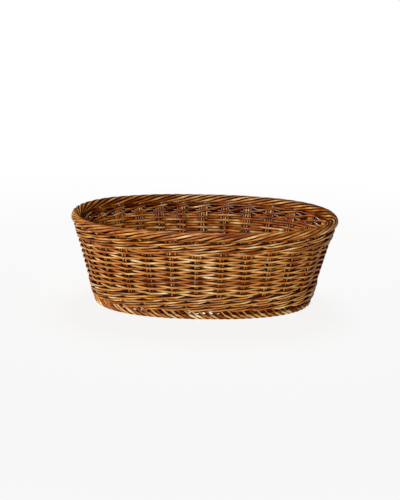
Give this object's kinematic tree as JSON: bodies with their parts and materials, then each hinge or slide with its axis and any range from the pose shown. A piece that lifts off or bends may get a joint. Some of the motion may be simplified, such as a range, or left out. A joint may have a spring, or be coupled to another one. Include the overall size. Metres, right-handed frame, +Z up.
{
  "type": "oval wicker basket",
  "caption": "Oval open wicker basket woven from round rods, with flared sides, waled bands, a rope-like rolled rim and an open plaited foot.",
  "frame": {"origin": "middle of the foot ring, on the surface that the basket stands on", "axes": "+X along the length of the oval, +Y across it, +Z up; the pictured side faces -Y"},
  "size_m": [0.38, 0.258, 0.1298],
  "materials": {
    "stake_rod": "peeled rod, honey brown, semi-gloss",
    "weaver_rod": "peeled rod, honey brown, semi-gloss",
    "border_rod": "peeled rod, pale honey brown, semi-gloss",
    "base_stick": "thick peeled rod, satin",
    "base_weaver": "peeled rod, satin"
  },
  "bodies": {
    "root": {"stake_pair_01": "stake_rod", "stake_pair_02": "stake_rod", "stake_pair_03": "stake_rod", "stake_pair_04": "stake_rod", "stake_pair_05": "stake_rod", "stake_pair_06": "stake_rod", "stake_pair_07": "stake_rod", "stake_pair_08": "stake_rod", "stake_pair_09": "stake_rod", "stake_pair_10": "stake_rod", "stake_pair_11": "stake_rod", "stake_pair_12": "stake_rod", "stake_pair_13": "stake_rod", "stake_pair_14": "stake_rod", "stake_pair_15": "stake_rod", "stake_pair_16": "stake_rod", "stake_pair_17": "stake_rod", "stake_pair_18": "stake_rod", "stake_pair_19": "stake_rod", "stake_pair_20": "stake_rod", "stake_pair_21": "stake_rod", "stake_pair_22": "stake_rod", "stake_pair_23": "stake_rod", "stake_pair_24": "stake_rod", "stake_pair_25": "stake_rod", "stake_pair_26": "stake_rod", "stake_pair_27": "stake_rod", "stake_pair_28": "stake_rod", "weaver_row_01": "weaver_rod", "weaver_row_02": "weaver_rod", "weaver_row_03": "weaver_rod", "weaver_row_04": "weaver_rod", "weaver_row_05": "weaver_rod", "weaver_row_06": "weaver_rod", "weaver_row_07": "weaver_rod", "weaver_row_08": "weaver_rod", "weaver_row_09": "weaver_rod", "weaver_row_10": "weaver_rod", "weaver_row_11": "weaver_rod", "weaver_row_12": "weaver_rod", "weaver_row_13": "weaver_rod", "weaver_row_14": "weaver_rod", "weaver_row_15": "weaver_rod", "weaver_row_16": "weaver_rod", "weaver_row_17": "weaver_rod", "bottom_wale_round_1": "weaver_rod", "bottom_wale_round_2": "weaver_rod", "bottom_wale_round_3": "weaver_rod", "top_wale_round_1": "weaver_rod", "top_wale_round_2": "weaver_rod", "rim_border": "border_rod", "foot_border": "border_rod", "base_cross_stick_1": "base_stick", "base_cross_stick_2": "base_stick", "base_cross_stick_3": "base_stick", "base_cross_stick_4": "base_stick", "base_long_sticks": "base_stick", "base_weave_upper": "base_weaver", "base_weave_lower": "base_weaver"}
  },
  "joints": []
}
